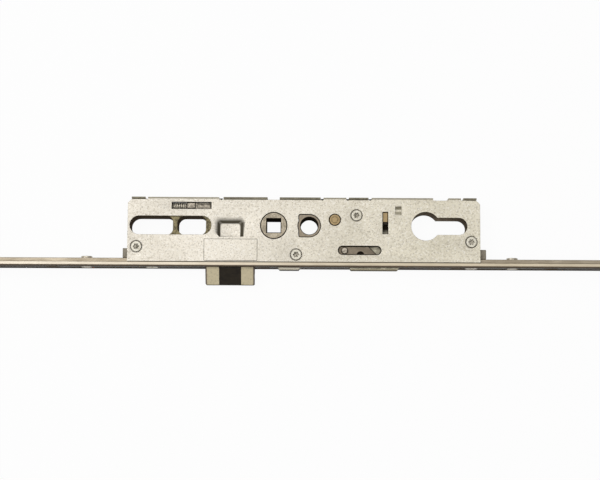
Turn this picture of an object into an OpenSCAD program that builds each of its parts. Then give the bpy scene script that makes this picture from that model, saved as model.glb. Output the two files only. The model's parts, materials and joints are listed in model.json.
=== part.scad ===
// Centre case of a multipoint door lock, lying on its side.
// X runs down the door, Y runs from the faceplate into the door's stile and
// Z runs through the leaf. The origin is on the spindle's axis, half way
// through the case. Lengths are in millimetres.

/* [Case] */
// Thickness of the case and width of the faceplate
case_t = 16; // [15.5:0.5:18]
// Thickness of the tray and cover sheets
sheet_t = 1.2; // [1:0.1:1.4]
// Length of the case above the spindle
case_up = 88.5; // [88:0.5:94]
// Length of the case below the spindle
case_down = 125; // [124.5:0.1:130]
// Depth of the case behind the spindle
case_rear = 17.4; // [17.2:0.1:20]
// Outer radius of the bent sheet edges
bend_r = 1.6; // [1.5:0.1:2]
// Distance from the faceplate's front to the spindle
backset = 25; // [24.5:0.5:28]

/* [Faceplate and drive rail] */
// Length of the faceplate above the spindle
plate_up = 225; // [215:1:300]
// Length of the faceplate below the spindle
plate_down = 260; // [255:1:330]
// Thickness of the faceplate
plate_t = 2.5; // [2.2:0.1:2.8]
// Thickness of the drive rail
rail_t = 2.4; // [2:0.1:2.6]
// Width of the drive rail
rail_w = 12.8; // [12.6:0.1:13]
// Turn of the handle's follower that drives the rail, in degrees
lift_deg = 50; // [40:1:52]
// Place of the upper locking roller along the faceplate
roller_up_x = -190; // [-200:1:-175]
// Place of the lower locking roller along the faceplate
roller_down_x = 225; // [205:1:235]
// Radius of the locking rollers
roller_r = 6.5; // [6:0.1:7]
// Height of the locking rollers
roller_h = 8; // [7:0.5:11]

/* [Keyhole and handle] */
// Distance from the spindle to the cylinder
pz = 92; // [92:0.5:94]
// Radius of the cylinder hole's round part
cyl_r = 8.75; // [8.6:0.05:9]
// Width of the cylinder hole's straight part
cyl_slot_w = 10.4; // [10.2:0.1:10.8]
// Distance from the cylinder's centre to the end of its hole
cyl_len = 25.2; // [24.8:0.1:25.6]
// Width of the square spindle hole
square_w = 8.3; // [8.1:0.1:9.3]
// Radius of the follower's hub
hub_r = 8.15; // [7.9:0.05:8.3]
// Distance from the spindle to the handle's fixing hole
bush_x = 21.5; // [21:0.1:22]
// Radius of the handle's fixing hole
bush_bore_r = 5.25; // [4:0.05:5.6]

/* [Latch] */
// Edge of the latch farther from the spindle
latch_x0 = -41.3; // [-41.8:0.1:-40.5]
// Edge of the latch nearer to the spindle
latch_x1 = -11.5; // [-12:0.1:-11.5]
// Thickness of the latch through the leaf
latch_w = 9.2; // [8.8:0.1:9.4]
// Reach of the latch beyond the faceplate
latch_out = 10.4; // [10:0.1:12]
// Travel of the latch
latch_travel = 11; // [9:0.1:11]
// Thickness of the latch at its tip
latch_tip = 4.4; // [3.6:0.1:5]
// Width of the plastic insert in the latch's face
insert_w = 13.2; // [11:0.1:14]

/* [Deadbolt] */
// Edge of the deadbolt nearer to the spindle
bolt_x0 = 46.3; // [46:0.1:47]
// Edge of the deadbolt nearer to the cylinder
bolt_x1 = 75.7; // [75:0.1:76]
// Thickness of the deadbolt through the leaf
bolt_w = 8; // [7.4:0.1:8.2]
// Throw of the deadbolt
bolt_throw = 20; // [16:0.5:20]
// Reach of the deadbolt beyond the faceplate when it is drawn back
bolt_proud = 1.4; // [0.6:0.1:2]

/* [Hidden] */
$fn = 64;

// Colours of the finishes
zinc_sheet = "#dcd6c2";
zinc_cast = "#8b8670";
steel_strip = "#cfc0a2";
steel_dark = "#8d8474";
brass = "#b99a5c";
black_plastic = "#2c2a28";
spring_steel = "#9a9a98";

// Clearances
slide_gap = 0.3;
seat_gap = 0.05;
run_gap = 0.1;
// Open joint between the cover and the faceplate, and open ring round the heads in the cover
front_joint = 0.5;
ring_gap = 0.45;
// Extra length of a tool that cuts right through
over = 1;

// Levels through the leaf
half_t = case_t / 2;
inner_z = half_t - sheet_t;
seat_z = inner_z - run_gap;
plate_layer = [4.3, 6.4];

// Lines along Y
front_y = -backset;
plate_back = front_y + plate_t;
rail_front = plate_back + 0.2;
rail_back = rail_front + rail_t;
rear_in = case_rear - sheet_t;
block_y0 = rail_back + slide_gap;

// Follower: the nose of its arm runs in the drive block
nose_r = 2;
nose_gap = 0.15;
arm_l = -rail_back - nose_r - 0.9;
arm_half = lift_deg / 2;
travel = 2 * arm_l * sin(arm_half);
nose_x = -arm_l * sin(arm_half);
collar_r = hub_r + 0.75;
tooth_r = 1.5;
tooth_gap = 0.12;
tooth_l = collar_r + 1.75;
tooth_x = tooth_l * sin(arm_half);

// Cover screws and the pillars that two of them enter
pillar_r = 2.1;
screw_r = 1.5;
screw_head_r = 3.85;
head_foot_r = screw_head_r - 1.4;
cheek_t = 1.7;
pillar_a = [-nose_x + nose_r + pillar_r + cheek_t + 2 * slide_gap, rail_back + 2.3];
pillar_b = [50.1, 6.45];
block_screw = [-case_up + 5.4, rail_back + 6.85];
end_screw = [case_down - 5.4, rail_back + 10.4];
cover_screw_places = [block_screw, pillar_a, pillar_b, end_screw];

// Fixing points along the faceplate
case_screw_x = [-73.9, case_down - 4.8];
case_screw_r = 2;
case_screw_l = 7.5;
case_screw_head = 1.8;
case_screw_tip_y = rail_back + case_screw_l;
cyl_screw_x = pz + 19.6;
rivet_x = [-case_up - 25.2, case_down + 20];
rivet_r = 2;
door_hole_x = [[-case_up - 45.5, case_down + 43.5], [-plate_up + 12, plate_down - 12]];
spare_hole_x = -5.8;
door_hole_r = 2.2;
stud_r = 3;

// Upper casting with the two long holes for the handle's screws
long_half = 5.7;
hole_a = [-87.2, -61.1];
hole_b = [-57.1, -41.1];
hole_a_corners = [5.5, 3.6];
hole_b_corners = [4.4, 3.3];
cover_slot = [hole_a[0], -37.7];
block_half = 7.4;
block_x0 = -case_up + 0.2;
block_x1 = cover_slot[1] + 0.3;
block_deep_x1 = hole_b[1] - 4.9;
block_pocket = [hole_a[1] - 7.9, block_deep_x1 - 3];
end_block_l = 8.6;
lug = [rail_back + 0.3, rail_back + 6.1];
lug_z = 4.5;
lug_out = [3, 3.8];

// Latch: its tail, its pin and the two springs beside them
latch_mid = (latch_x0 + latch_x1) / 2;
latch_z = latch_w / 2;
wide_y = -block_half - latch_travel - slide_gap;
narrow_x0 = block_x1 + 0.4;
latch_rear = -8;
tail_w = 7.2;
tail_z = 1.8;
tail_end = rear_in - latch_travel - 0.7;
tail_seat = 6;
pin_r = 1.6;
pin_y = -latch_travel / 2;
insert_x0 = latch_mid - insert_w / 2 + 0.1;
insert_z = -2.4;
coil_at = [latch_mid - 8.2, latch_mid + 8.2];
coil_r = 1.85;
wire_r = 0.35;
latch_wire_r = 0.25;
bridge_y = 13;

// Crank that the latch's pin turns about the follower
crank_z = [-inner_z + 0.3, -2.9];
crank_deg = atan(latch_travel / 2 / -latch_mid);
crank_r = hub_r + 3.05;

// Snib beside the latch
snib_x = [2.7, 16.1];
snib_travel = 4;
snib_z = [-4.6, -2.4];
stem_x = [5, 8];
snib_y = [rail_back + slide_gap, rail_back + 2.3];

// Return bar behind the follower and its spring
bar_z = [2.6, 5.4];
bar_y = [collar_r + 1.3, 14];
bar_end = -52.9;
nub_x = [-52.5, -47.7];
window_x = [-61.8, -37.9];
window_y = [10, 14.1];
spring_at = [12.1, 4];
spring_x0 = -case_up + 3.7;

// Drive block: it stands on the rail, takes the follower's nose and slides past a pillar
block_z = [-1.9, 6.4];
block_top = -arm_l * cos(arm_half) + 0.5;
pillar_slot = [pillar_a[0] - travel - pillar_r - slide_gap, pillar_a[0] + pillar_r + slide_gap];
drive_block_x = [nose_x - nose_r - nose_gap - cheek_t, pillar_slot[1] + 13.5];
drive_rivet_x = [pillar_slot[1] + 3.2, pillar_slot[1] + 10.3];
drive_rivet_z = 2.25;
rail_rivet_r = 1.5;

// Deadlocking lever and its pin
lever_at = [37, 3.7];
lever_pin_r = 3.3;
lever_boss_r = lever_pin_r + 2.3;
lever_drop = 13.5;
nib = [[64.9, 70.2], [2.4, 8.6]];
peep = [[65.9, 69.2], [-4.8, 8.6]];
lock_nose = [52, rail_back + 13];
lock_w = 3.2;
lever_knee = [63, 1];
lever_heel = [[bolt_x1 + 2.1, bolt_x1 + 4.9], [1.4, 6.2]];

// Place that a point of the lever reaches when the lever has dropped
function dropped(p) =
    let (d = p - lever_at)
        [
            lever_at[0] + d[0] * cos(lever_drop) + d[1] * sin(lever_drop),
            lever_at[1] - d[0] * sin(lever_drop) + d[1] * cos(lever_drop)
        ];

// Plate on the rail that the lever locks, and its notches that follow the nose's path
nose_left = dropped([lock_nose[0] - lock_w / 2, lock_nose[1]]);
nose_right = dropped([lock_nose[0] + lock_w / 2, lock_nose[1]]);
notch_gap = 0.45;
notch_top_x = lock_nose[0] + lock_w / 2 + notch_gap;
notch_floor = nose_right[1] - notch_gap;
stop_top = lock_nose[1] - 0.5;
stop_x0 = nose_left[0] - notch_gap - travel - 2.4;
stop_x1 = 64.6;
stop_pin_at = [42.9, rail_back + 4.9];
stop_pin_r = 2.1;
stop_neck_r = stop_pin_r - 0.6;
guide_slot = [38.9, 65.1];
guide_r = 2.7;
guide_y = rail_back + 5;

// Spring of the lever, and the stud on the lever that it bears on
lever_spring_r = pillar_b[1] + pillar_r + wire_r + run_gap - lever_at[1];
lever_spring_z = [-1, 4];
lever_stud_x = bolt_x0 - 1.9;
lever_stud_r = 0.9;

// Springs, each as its length, turns, radius, wire's radius and rings in a turn
latch_coil = [bridge_y - latch_rear - 2 * seat_gap, 9, coil_r, latch_wire_r, 8];
return_coil = [bar_end - spring_x0 - 2 * seat_gap, 14, coil_r - 0.1, wire_r, 8];
lever_coil = [lever_spring_z[1] - lever_spring_z[0], 3.5, lever_spring_r, wire_r, 12];

// Deadbolt: head, tail and the teeth that the key's cam moves
bolt_z = bolt_w / 2;
bolt_rear = 2;
bolt_tail_z = 1.6;
bolt_tail_x0 = pillar_b[0] + pillar_r + 0.8;
bolt_tail_y = [-4, rear_in - 0.6];
bolt_rivet_r = 1.5;
bolt_rivets = [[bolt_tail_x0 + 4, -1], [bolt_x1 - 5, -1]];
cam_r = 15.3;
tooth_edge = pz - sqrt(cam_r * cam_r - bolt_throw * bolt_throw / 4) + 1.2;
gullet_y = bolt_throw / 2;
gullet_half = 2.8;

// Edges of the case that interlock, from the upper to the lower end
rear_notch = [case_down - 28.4, case_down - 19.2];
notch_side = 1.8;
bend_reliefs = [[-33.2, -30.6], [28.6, 30.1], [44, 45.5], [57.4, 59.3]];
tray_fingers = [
    [-case_up + 2.2, -case_up + 10.6],
    [bend_reliefs[0][1], -3.8],
    [3.5, bend_reliefs[1][0] - 0.2],
    [bend_reliefs[2][1], bend_reliefs[3][0]],
    [case_down - 10.1, case_down - 2]
];
cover_flanges = [
    [-case_up + 12.1, bend_reliefs[0][0]],
    [bend_reliefs[1][1], bend_reliefs[2][0]],
    [bend_reliefs[3][1], rear_notch[0]],
    [rear_notch[1], case_down - 11.5]
];
relief_side = 2.9;
cut_corner = 3.2;
end_wall_top = rear_in - 2.4;

// Block between two planes on each axis
module block(x, y, z) {
    translate([x[0], y[0], z[0]])
        cube([x[1] - x[0], y[1] - y[0], z[1] - z[0]]);
}

// Round rod along Z, Y or X
module rod_z(p, r, z) {
    translate([p[0], p[1], z[0]])
        cylinder(r = r, h = z[1] - z[0]);
}

module rod_y(x, z, r, y) {
    translate([x, y[0], z])
        rotate([-90, 0, 0])
            cylinder(r = r, h = y[1] - y[0]);
}

module rod_x(y, z, r, x) {
    translate([x[0], y, z])
        rotate([0, 90, 0])
            cylinder(r = r, h = x[1] - x[0]);
}

// Flat bar with round ends along X, lying in the case's plane
module oblong_z(x, y, r, z) {
    rod_z([x[0] + r, y], r, z);
    rod_z([x[1] - r, y], r, z);
    block([x[0] + r, x[1] - r], [y - r, y + r], z);
}

// The same standing across the faceplate
module oblong_y(x, z, r, y) {
    rod_y(x[0] + r, z, r, y);
    rod_y(x[1] - r, z, r, y);
    block([x[0] + r, x[1] - r], y, [z - r, z + r]);
}

// Long hole with rounded corners, of one radius at each end
module long_hole(x, corners, z) {
    inner = [x[0] + corners[0], x[1] - corners[1]];
    block(inner, [-long_half, long_half], z);
    for (end = [0, 1]) {
        r = corners[end];
        block([min(x[end], inner[end]), max(x[end], inner[end])], [r - long_half, long_half - r], z);
        for (side = [-1, 1])
            rod_z([inner[end], side * (long_half - r)], r, z);
    }
}

// Outline drawn in Y and Z, drawn out along X
module along_x(x) {
    translate([x[0], 0, 0])
        rotate([90, 0, 90])
            linear_extrude(height = x[1] - x[0])
                children();
}

// Round hole through the faceplate with a countersink at its front
module sunk_hole(x, r, head_r) {
    rod_y(x, 0, r, [front_y - over, plate_back + over]);
    translate([x, front_y - 0.01, 0])
        rotate([-90, 0, 0])
            cylinder(r1 = head_r, r2 = r, h = head_r - r);
}

// Countersunk screw or rivet along Y, with its head in the faceplate
module sunk_shank(x, r, head_r, tip_y) {
    rod_y(x, 0, r, [front_y + 0.2, tip_y]);
    translate([x, front_y, 0])
        rotate([-90, 0, 0])
            cylinder(r1 = head_r, r2 = r, h = head_r - r);
}

// Six-lobed socket along Z
module lobed_socket(r, z) {
    rod_z([0, 0], r * 0.72, z);
    for (a = [0 : 60 : 300])
        rotate([0, 0, a])
            rod_z([r * 0.72, 0], r * 0.3, z);
}

// Centreline of a coil about the X axis, as one point for each ring of its wire
function coil_line(form) =
    let (steps = form[1] * form[4])
        [
            for (n = [0 : steps])
                let (a = 360 * n / form[4])
                    [form[3] + (form[0] - 2 * form[3]) * n / steps, form[2] * cos(a), form[2] * sin(a)]
        ];

// Least gap between a coil's turns, measured between the points of its centreline
function coil_gap(form) =
    let (line = coil_line(form), rings = form[4], last = len(line) - 1)
        min([
            for (i = [0 : last - rings / 2])
                for (j = [i + rings / 2 : min(i + 2 * rings, last)])
                    norm(line[j] - line[i])
        ]) - 2 * form[3];

echo(latch_coil_gap = coil_gap(latch_coil));
echo(return_coil_gap = coil_gap(return_coil));
echo(lever_coil_gap = coil_gap(lever_coil));

// Unbroken coil about the X axis, with a round wire and a straight leg at each end
module coil(form, legs = [0, 0]) {
    sides = 6;
    wire = form[3];
    line = coil_line(form);
    steps = len(line) - 1;
    first = legs[0] > 0 ? -1 : 0;
    last = legs[1] > 0 ? steps + 1 : steps;
    points = [
        for (i = [first : last])
            let (
                n = min(max(i, 0), steps),
                a = 360 * n / form[4],
                leg = i < 0 ? -legs[0] : (i > steps ? legs[1] : 0)
            )
                for (k = [0 : sides - 1])
                    let (b = 360 * k / sides)
                        [
                            line[n][0] + wire * sin(b),
                            line[n][1] + wire * cos(b) * cos(a) - leg * sin(a),
                            line[n][2] + wire * cos(b) * sin(a) + leg * cos(a)
                        ]
    ];
    walls = [
        for (i = [0 : last - first - 1])
            for (k = [0 : sides - 1])
                let (n = (k + 1) % sides)
                    each [
                        [i * sides + k, i * sides + n, (i + 1) * sides + n],
                        [i * sides + k, (i + 1) * sides + n, (i + 1) * sides + k]
                    ]
    ];
    end = (last - first) * sides;
    caps = [
        for (k = [1 : sides - 2])
            each [[0, k + 1, k], [end, end + k, end + k + 1]]
    ];
    polyhedron(points = points, faces = concat(walls, caps));
}

// Strip of sheet that rises from a flat edge round a bend, drawn in Y and Z
module bent_edge(height) {
    translate([-sheet_t, bend_r])
        square([sheet_t, height - bend_r]);
    translate([-bend_r, bend_r])
        intersection() {
            difference() {
                circle(r = bend_r);
                circle(r = bend_r - sheet_t);
            }
            translate([0, -bend_r])
                square([bend_r, bend_r]);
        }
}

// Outline of both sheets, without their rear edges
module sheet(front_gap, z) {
    difference() {
        block([-case_up, case_down], [plate_back + front_gap, case_rear - bend_r], z);
        for (x = [-case_up, case_down])
            corner_cut([x, case_rear - bend_r], cut_corner, [z[0] - over, z[1] + over]);
    }
}

// Square tool turned by 45 degrees, for corners and bend reliefs
module corner_cut(p, side, z) {
    translate([p[0], p[1], 0])
        rotate([0, 0, 45])
            block([-side / 2, side / 2], [-side / 2, side / 2], z);
}

// Openings that go through both sheets
module through_openings(z) {
    rod_z([0, 0], hub_r + run_gap, z);
    rod_z(lever_at, lever_pin_r + seat_gap, z);
    bush_outline(run_gap, z);
    cylinder_hole(0, z);
}

// Keyhole shape of the profile cylinder
module cylinder_hole(gap, z) {
    rod_z([pz, 0], cyl_r + gap, z);
    block([pz, pz + cyl_len - cyl_slot_w / 2], [-cyl_slot_w / 2 - gap, cyl_slot_w / 2 + gap], z);
    rod_z([pz + cyl_len - cyl_slot_w / 2, 0], cyl_slot_w / 2 + gap, z);
}

// D-shaped outline of the handle's bush
module bush_outline(gap, z) {
    half = 7 + gap;
    corner = 1.2;
    rod_z([bush_x, 0], half, z);
    block([bush_x - 6.5 - gap, bush_x], [-half + corner, half - corner], z);
    block([bush_x - 6.5 - gap + corner, bush_x], [-half, half], z);
    for (s = [-1, 1])
        rod_z([bush_x - 6.5 - gap + corner, s * (half - corner)], corner, z);
}

// Tapered block below a top level: sloping on three sides and upright at the front
module pressed_pocket(x, y, top, depth, slope) {
    intersection() {
        translate([0, y[1] + over, 0])
            rotate([90, 0, 0])
                linear_extrude(height = y[1] - y[0] + 2 * over)
                    polygon([
                        [x[0], top],
                        [x[1], top],
                        [x[1] - slope, top - depth],
                        [x[0] + slope, top - depth]
                    ]);
        along_x([x[0] - over, x[1] + over])
            polygon([
                [y[0], top],
                [y[1], top],
                [y[1] - slope, top - depth],
                [y[0], top - depth]
            ]);
    }
}

module faceplate() {
    color(steel_strip)
        difference() {
            block([-plate_up, plate_down], [front_y, plate_back], [-half_t, half_t]);
            block(
                [latch_x0 - slide_gap, latch_x1 + slide_gap],
                [front_y - over, plate_back + over],
                [-latch_z - 0.2, latch_z + 0.2]
            );
            block(
                [bolt_x0 - slide_gap, bolt_x1 + slide_gap],
                [front_y - over, plate_back + over],
                [-bolt_z - 0.2, bolt_z + 0.2]
            );
            block(
                [stem_x[0] - snib_travel - slide_gap, stem_x[1] + slide_gap],
                [front_y - over, plate_back + over],
                [snib_z[0] - 0.2, snib_z[1] + 0.2]
            );
            for (pair = door_hole_x)
                for (x = pair)
                    sunk_hole(x, door_hole_r, door_hole_r + 1.9);
            sunk_hole(spare_hole_x, door_hole_r, door_hole_r + 1.5);
            sunk_hole(cyl_screw_x, 2.75, 4.7);
            for (x = case_screw_x)
                sunk_hole(x, case_screw_r + seat_gap, case_screw_r + case_screw_head + 0.1);
            for (x = rivet_x)
                sunk_hole(x, rivet_r + seat_gap, rivet_r + 1.5);
            for (x = [roller_up_x, roller_down_x])
                oblong_y(
                    [x - stud_r - slide_gap, x + travel + stud_r + slide_gap],
                    0,
                    stud_r + slide_gap,
                    [front_y - over, plate_back + over]
                );
        }
}

module case_tray() {
    color(zinc_sheet)
        difference() {
            union() {
                sheet(run_gap, [-half_t, -inner_z]);
                for (f = tray_fingers)
                    translate([0, case_rear, -half_t])
                        along_x(f)
                            bent_edge(case_t - 0.6);
                block(
                    [-case_up, -case_up + sheet_t],
                    [block_half + slide_gap, end_wall_top],
                    [-half_t, seat_z]
                );
                block(
                    [case_down - sheet_t, case_down],
                    [lug[1] + slide_gap, end_wall_top],
                    [-half_t, seat_z]
                );
            }
            through_openings([-half_t - over, -inner_z + over]);
            long_hole(hole_a, hole_a_corners, [-half_t - over, -inner_z + over]);
            long_hole(hole_b, hole_b_corners, [-half_t - over, -inner_z + over]);
            for (p = [pillar_a, pillar_b])
                rod_z(p, screw_r + seat_gap, [-half_t - over, -inner_z + over]);
            block(rear_notch, [rear_in - 0.8, case_rear + over], [-half_t - over, -inner_z + over]);
        }
}

// Countersunk hole for a cover screw
module screw_seat(p) {
    translate([p[0], p[1], inner_z - 0.02])
        cylinder(r1 = head_foot_r + seat_gap, r2 = screw_head_r + seat_gap, h = sheet_t + 0.04);
}

module case_cover() {
    emboss = [[-42.2, -9.8], [plate_back + 0.9, -8.2]];
    pocket = [[-35.2, -17], [-6.9, 4]];
    pocket_depth = 2.8;
    pocket_slope = 2.2;
    dimple = [[73.6, 77.3], 9.55];
    dimple_r = 4.24;
    dimple_depth = 1.1;
    color(zinc_sheet)
        difference() {
            union() {
                difference() {
                    sheet(front_joint, [inner_z, half_t]);
                    for (n = bend_reliefs)
                        corner_cut([(n[0] + n[1]) / 2, case_rear], relief_side, [inner_z - over, half_t + over]);
                }
                difference() {
                    pressed_pocket(
                        [pocket[0][0] - sheet_t, pocket[0][1] + sheet_t],
                        [pocket[1][0], pocket[1][1] + sheet_t],
                        half_t - 0.1,
                        pocket_depth + sheet_t - 0.1,
                        pocket_slope + sheet_t
                    );
                    pressed_pocket(
                        pocket[0],
                        [pocket[1][0] - over, pocket[1][1]],
                        half_t,
                        pocket_depth,
                        pocket_slope
                    );
                }
                block(emboss[0], emboss[1], [half_t - 0.1, half_t + 0.35]);
                for (f = cover_flanges)
                    translate([0, case_rear, half_t])
                        mirror([0, 0, 1])
                            along_x(f)
                                bent_edge(case_t - 0.6);
                intersection() {
                    rod_x(dimple[1], half_t - dimple_depth + dimple_r, dimple_r + sheet_t, dimple[0]);
                    block(dimple[0], [dimple[1] - 5, dimple[1] + 5], [inner_z - 2, inner_z + 0.1]);
                }
            }
            pressed_pocket(pocket[0], pocket[1], half_t, pocket_depth, pocket_slope);
            block(
                [emboss[0][0] + 1, emboss[0][1] - 1],
                [emboss[1][0] + 1, emboss[1][1] - 1],
                [inner_z - over, inner_z + 0.35]
            );
            rod_x(dimple[1], half_t - dimple_depth + dimple_r, dimple_r, dimple[0]);
            through_openings([inner_z - over, half_t + over]);
            oblong_z(cover_slot, 0, long_half, [inner_z - over, half_t + over]);
            block(window_x, window_y, [inner_z - over, half_t + over]);
            block(peep[0], peep[1], [inner_z - over, half_t + over]);
            oblong_z(guide_slot, guide_y, guide_r, [inner_z - over, half_t + over]);
            for (p = cover_screw_places)
                screw_seat(p);
            translate([lever_at[0], lever_at[1], inner_z + 0.3])
                cylinder(
                    r1 = lever_pin_r + seat_gap,
                    r2 = lever_pin_r + ring_gap,
                    h = sheet_t - 0.28
                );
            translate([0, 0, inner_z - over])
                linear_extrude(height = sheet_t + 2 * over)
                    polygon([
                        [rear_notch[0] - over, case_rear + over],
                        [rear_notch[0] + notch_side, rear_in - 0.5],
                        [rear_notch[1] - notch_side, rear_in - 0.5],
                        [rear_notch[1] + over, case_rear + over]
                    ]);
        }
}

module cover_screws() {
    color(spring_steel)
        for (p = cover_screw_places)
            translate([p[0], p[1], 0])
                difference() {
                    union() {
                        translate([0, 0, inner_z + 0.03])
                            cylinder(r1 = head_foot_r, r2 = screw_head_r - ring_gap, h = sheet_t - 0.03);
                        rod_z([0, 0], screw_r, [1.8, inner_z + 0.1]);
                    }
                    lobed_socket(1.75, [half_t - 1.1, half_t + over]);
                }
}

module screw_pillars() {
    color(steel_dark)
        for (p = [pillar_a, pillar_b])
            difference() {
                union() {
                    rod_z(p, pillar_r, [-inner_z, seat_z + 0.05]);
                    rod_z(p, screw_r, [-half_t, -inner_z + 0.1]);
                }
                rod_z(p, screw_r + seat_gap, [1.5, half_t]);
            }
}

module slot_block() {
    inside_x0 = -case_up + sheet_t + run_gap;
    deck = [-seat_z, seat_z];
    color(zinc_cast)
        difference() {
            union() {
                block([block_x0, block_x1], [-block_half, block_half], deck);
                block([block_x0, block_deep_x1], [block_y0, 0], deck);
                block([-case_up - lug_out[0], block_x0 + 1], lug, [-lug_z, lug_z]);
                block([inside_x0, spring_x0 - run_gap], [0, end_wall_top], deck);
            }
            long_hole(hole_a, hole_a_corners, [-half_t, half_t]);
            long_hole(hole_b, hole_b_corners, [-half_t, half_t]);
            block(block_pocket, [block_y0 + 2, -block_half - 0.6], [-half_t, seat_z - 3.4]);
            rod_z(block_screw, screw_r + seat_gap, [1.5, half_t]);
            rod_y(case_screw_x[0], 0, case_screw_r + seat_gap, [block_y0 - over, case_screw_tip_y + 0.2]);
        }
}

module end_block() {
    x1 = case_down - sheet_t - run_gap;
    x0 = x1 - end_block_l;
    color(zinc_cast)
        difference() {
            union() {
                block([x0, x1], [block_y0, -cyl_slot_w / 2 - 0.7], [-seat_z, seat_z]);
                block([x1 - 1, case_down + lug_out[1]], lug, [-lug_z, lug_z]);
            }
            rod_z(end_screw, screw_r + seat_gap, [1.5, half_t]);
            rod_y(case_screw_x[1], 0, case_screw_r + seat_gap, [block_y0 - over, case_screw_tip_y + 0.2]);
        }
}

module faceplate_screws() {
    color(spring_steel)
        for (x = case_screw_x)
            difference() {
                sunk_shank(x, case_screw_r, case_screw_r + case_screw_head, case_screw_tip_y);
                translate([x, front_y, 0])
                    rotate([-90, 0, 0])
                        lobed_socket(case_screw_r * 0.85, [-over, case_screw_head - 0.5]);
            }
}

module guide_rivets() {
    color(steel_dark)
        for (x = rivet_x) {
            sunk_shank(x, rivet_r, rivet_r + 1.4, rail_back + 1.4);
            rod_y(x, 0, rivet_r + 1.4, [rail_back + 0.2, rail_back + 1.4]);
        }
}

module handle_bush() {
    color(steel_dark)
        difference() {
            bush_outline(0, [-half_t + 0.6, half_t - 0.6]);
            rod_z([bush_x, 0], bush_bore_r, [-half_t, half_t]);
        }
}

module lever_pin() {
    color(brass)
        difference() {
            rod_z(lever_at, lever_pin_r, [-half_t, half_t]);
            for (z = [[half_t - 0.25, half_t + over], [-half_t - over, -half_t + 0.25]])
                difference() {
                    rod_z(lever_at, 2.05, z);
                    rod_z(lever_at, 1.75, z);
                }
        }
}

module latch_guide() {
    wall = 1.9;
    color(black_plastic)
        difference() {
            block([latch_x0 - wall, latch_x1 + wall], [block_y0 + 0.1, -11.2], [-seat_z, seat_z]);
            block(
                [latch_x0 - 0.2, latch_x1 + 0.2],
                [block_y0 - over, 0],
                [-latch_z - 0.2, latch_z + 0.2]
            );
            block([latch_x1, latch_x1 + wall + over], [block_y0 - over, rail_back + 6.3], [snib_z[0] - 0.3, half_t]);
        }
}

module spring_bridge() {
    color(zinc_cast)
        difference() {
            union() {
                block(
                    [coil_at[0] - 3, coil_at[1] + 3],
                    [bridge_y, case_rear - bend_r - run_gap],
                    [-inner_z, coil_r + wire_r + 0.1]
                );
                for (x = coil_at)
                    rod_y(x, 0, coil_r - latch_wire_r - 0.3, [bridge_y - 3, bridge_y + 0.5]);
            }
            block(
                [latch_mid - tail_w / 2 - 0.5, latch_mid + tail_w / 2 + 0.5],
                [bridge_y - over, case_rear],
                [-tail_z - 0.4, half_t]
            );
        }
}

module latch_springs() {
    color(spring_steel)
        for (x = coil_at)
            translate([x, latch_rear + seat_gap, 0])
                rotate([0, 0, 90])
                    coil(latch_coil);
}

module return_spring() {
    color(spring_steel)
        translate([spring_x0 + seat_gap, spring_at[0], spring_at[1]])
            coil(return_coil);
}

// Torsion spring round the lever's pin: one leg lies on the pillar, the other under the lever's stud
module lever_spring() {
    color(spring_steel)
        translate([lever_at[0], lever_at[1], lever_spring_z[0]])
            rotate([0, -90, 0])
                coil(lever_coil, [pillar_b[0] - lever_at[0] + 2, lever_stud_x - lever_at[0] + lever_stud_r]);
}

module follower() {
    arm_z = [-1.6, 5.4];
    tooth_z = [bar_z[0] + 0.1, bar_z[1] - 0.1];
    color(steel_dark)
        difference() {
            union() {
                rod_z([0, 0], hub_r, [-half_t, half_t]);
                rod_z([0, 0], collar_r, [crank_z[1] + 0.2, inner_z - 0.2]);
                rotate([0, 0, -90 - arm_half]) {
                    translate([0, 0, arm_z[0]])
                        linear_extrude(height = arm_z[1] - arm_z[0])
                            polygon([
                                [6, -4.2],
                                [arm_l - 4, -1.2],
                                [arm_l, -1.2],
                                [arm_l, 1.2],
                                [arm_l - 4, 1.2],
                                [6, 4.2]
                            ]);
                    rod_z([arm_l, 0], nose_r, arm_z);
                }
                rotate([0, 0, 90 - arm_half]) {
                    block([6, tooth_l], [-1.1, 1.1], tooth_z);
                    rod_z([tooth_l, 0], tooth_r, tooth_z);
                }
            }
            block([-square_w / 2, square_w / 2], [-square_w / 2, square_w / 2], [-half_t - over, half_t + over]);
        }
}

module return_bar() {
    cheek = tooth_r + tooth_gap;
    color(steel_strip)
        difference() {
            union() {
                block([bar_end, tooth_x + cheek + 3], bar_y, bar_z);
                block([tooth_x - cheek - 2.4, tooth_x + cheek + 3], [collar_r + slide_gap, bar_y[1]], bar_z);
                block(nub_x, [window_y[0] + 0.3, window_y[1] - 0.3], [bar_z[0], half_t - 0.5]);
                rod_x(spring_at[0], spring_at[1], coil_r - wire_r - 0.3, [bar_end - 5, bar_end + 1]);
            }
            block(
                [tooth_x - cheek, tooth_x + cheek],
                [collar_r - over, tooth_l + tooth_r + 0.25],
                [bar_z[0] - over, bar_z[1] + over]
            );
            block([nub_x[1] + 1.5, window_x[1] - 0.8], [11.2, 13.1], [bar_z[1] - 0.6, bar_z[1] + over]);
        }
}

// Slot in the drive rail for something fixed that it slides past
module rail_slot(x0, x1, half) {
    oblong_y(
        [x0 - travel - slide_gap, x1 + slide_gap],
        0,
        half + slide_gap,
        [rail_front - over, rail_back + over]
    );
}

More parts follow.
